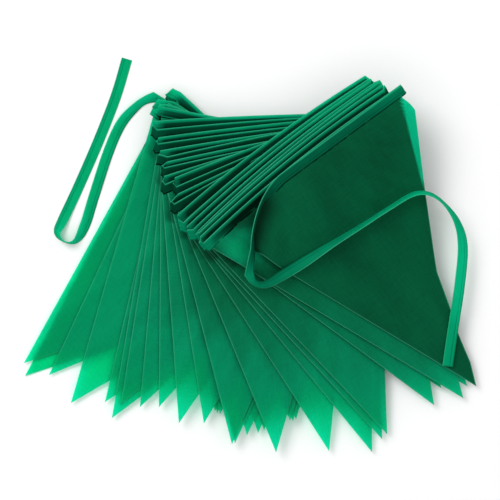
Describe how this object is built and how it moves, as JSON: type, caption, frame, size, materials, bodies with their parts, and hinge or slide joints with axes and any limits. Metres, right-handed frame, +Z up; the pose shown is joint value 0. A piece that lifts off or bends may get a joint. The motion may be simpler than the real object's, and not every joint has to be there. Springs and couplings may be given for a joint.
{
  "type": "fabric bunting",
  "caption": "String of plain triangular cloth pennants sewn along one folded tape, gathered into a fanned stack with a free tie at each end.",
  "frame": {"origin": "on the surface that the bunting lies on, below the centre of its bounding box", "axes": "+Z up from the surface; +X across the picture to the right, along the longest extent; +Y away from the pennants' tips, towards the headings"},
  "size_m": [0.452, 0.3945, 0.0764],
  "materials": {
    "pennant_cloth": "thin plain-woven cloth that lets light through, matt",
    "tape_cloth": "folded woven tape, slight sheen"
  },
  "bodies": {
    "root": {"pennant_01": "pennant_cloth", "pennant_02": "pennant_cloth", "pennant_03": "pennant_cloth", "pennant_04": "pennant_cloth", "pennant_05": "pennant_cloth", "pennant_06": "pennant_cloth", "pennant_07": "pennant_cloth", "pennant_08": "pennant_cloth", "pennant_09": "pennant_cloth", "pennant_10": "pennant_cloth", "pennant_11": "pennant_cloth", "pennant_12": "pennant_cloth", "pennant_13": "pennant_cloth", "pennant_14": "pennant_cloth", "pennant_15": "pennant_cloth", "pennant_16": "pennant_cloth", "pennant_17": "pennant_cloth", "pennant_18": "pennant_cloth", "pennant_19": "pennant_cloth", "pennant_20": "pennant_cloth", "pennant_21": "pennant_cloth", "pennant_22": "pennant_cloth", "pennant_23": "pennant_cloth", "pennant_24": "pennant_cloth", "pennant_25": "pennant_cloth", "pennant_26": "pennant_cloth", "pennant_27": "pennant_cloth", "pennant_28": "pennant_cloth", "pennant_29": "pennant_cloth", "pennant_30": "pennant_cloth", "pennant_31": "pennant_cloth", "pennant_32": "pennant_cloth", "tape": "tape_cloth"}
  },
  "joints": []
}
